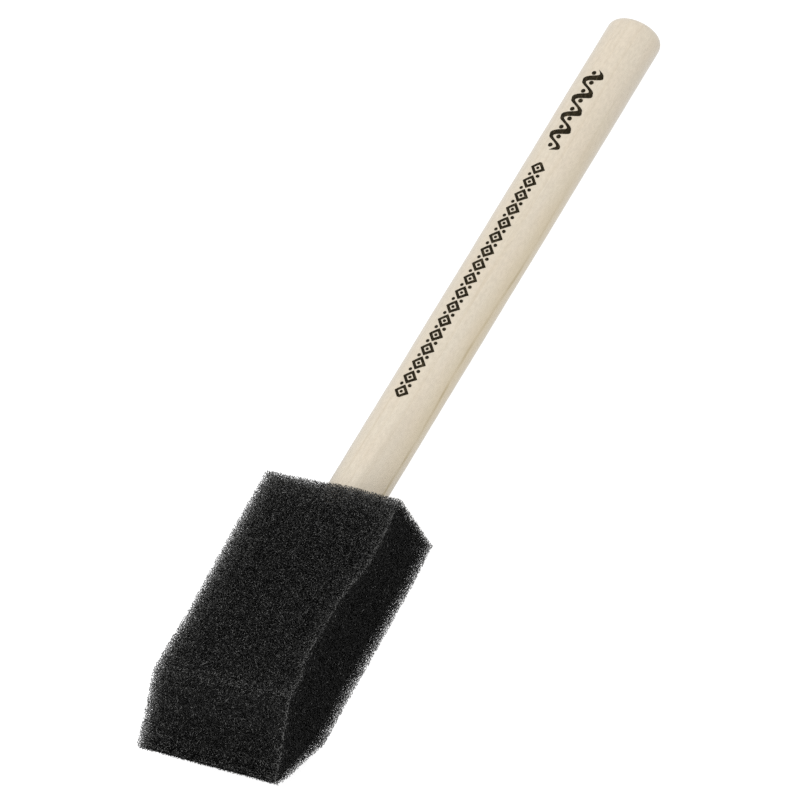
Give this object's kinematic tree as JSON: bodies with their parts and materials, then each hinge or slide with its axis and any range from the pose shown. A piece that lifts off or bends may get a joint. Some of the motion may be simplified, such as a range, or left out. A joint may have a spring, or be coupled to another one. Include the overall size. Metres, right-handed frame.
{
  "type": "foam sponge brush",
  "caption": "Disposable paint brush: chisel-tipped open-cell foam block glued over a flat plastic stiffener on a round wooden dowel handle.",
  "frame": {"origin": "under the middle of the whole brush, on the plane of the foam's back face, which is the face it lies on", "axes": "+Y along the handle, from the chisel tip to the dowel's free end; +X across the foam's width; +Z out of the foam's front face"},
  "size_m": [0.0368, 0.1962, 0.0166],
  "materials": {
    "foam": "matte black open-cell polyurethane foam",
    "wood": "pale, sanded, unvarnished birch",
    "stiffener_plastic": "off-white moulded polystyrene",
    "hot_melt": "translucent amber hot-melt adhesive",
    "ink": null
  },
  "bodies": {
    "root": {"foam_head": "foam", "handle": "wood", "stiffener": "stiffener_plastic", "glue_front": "hot_melt", "glue_back": "hot_melt"}
  },
  "joints": []
}
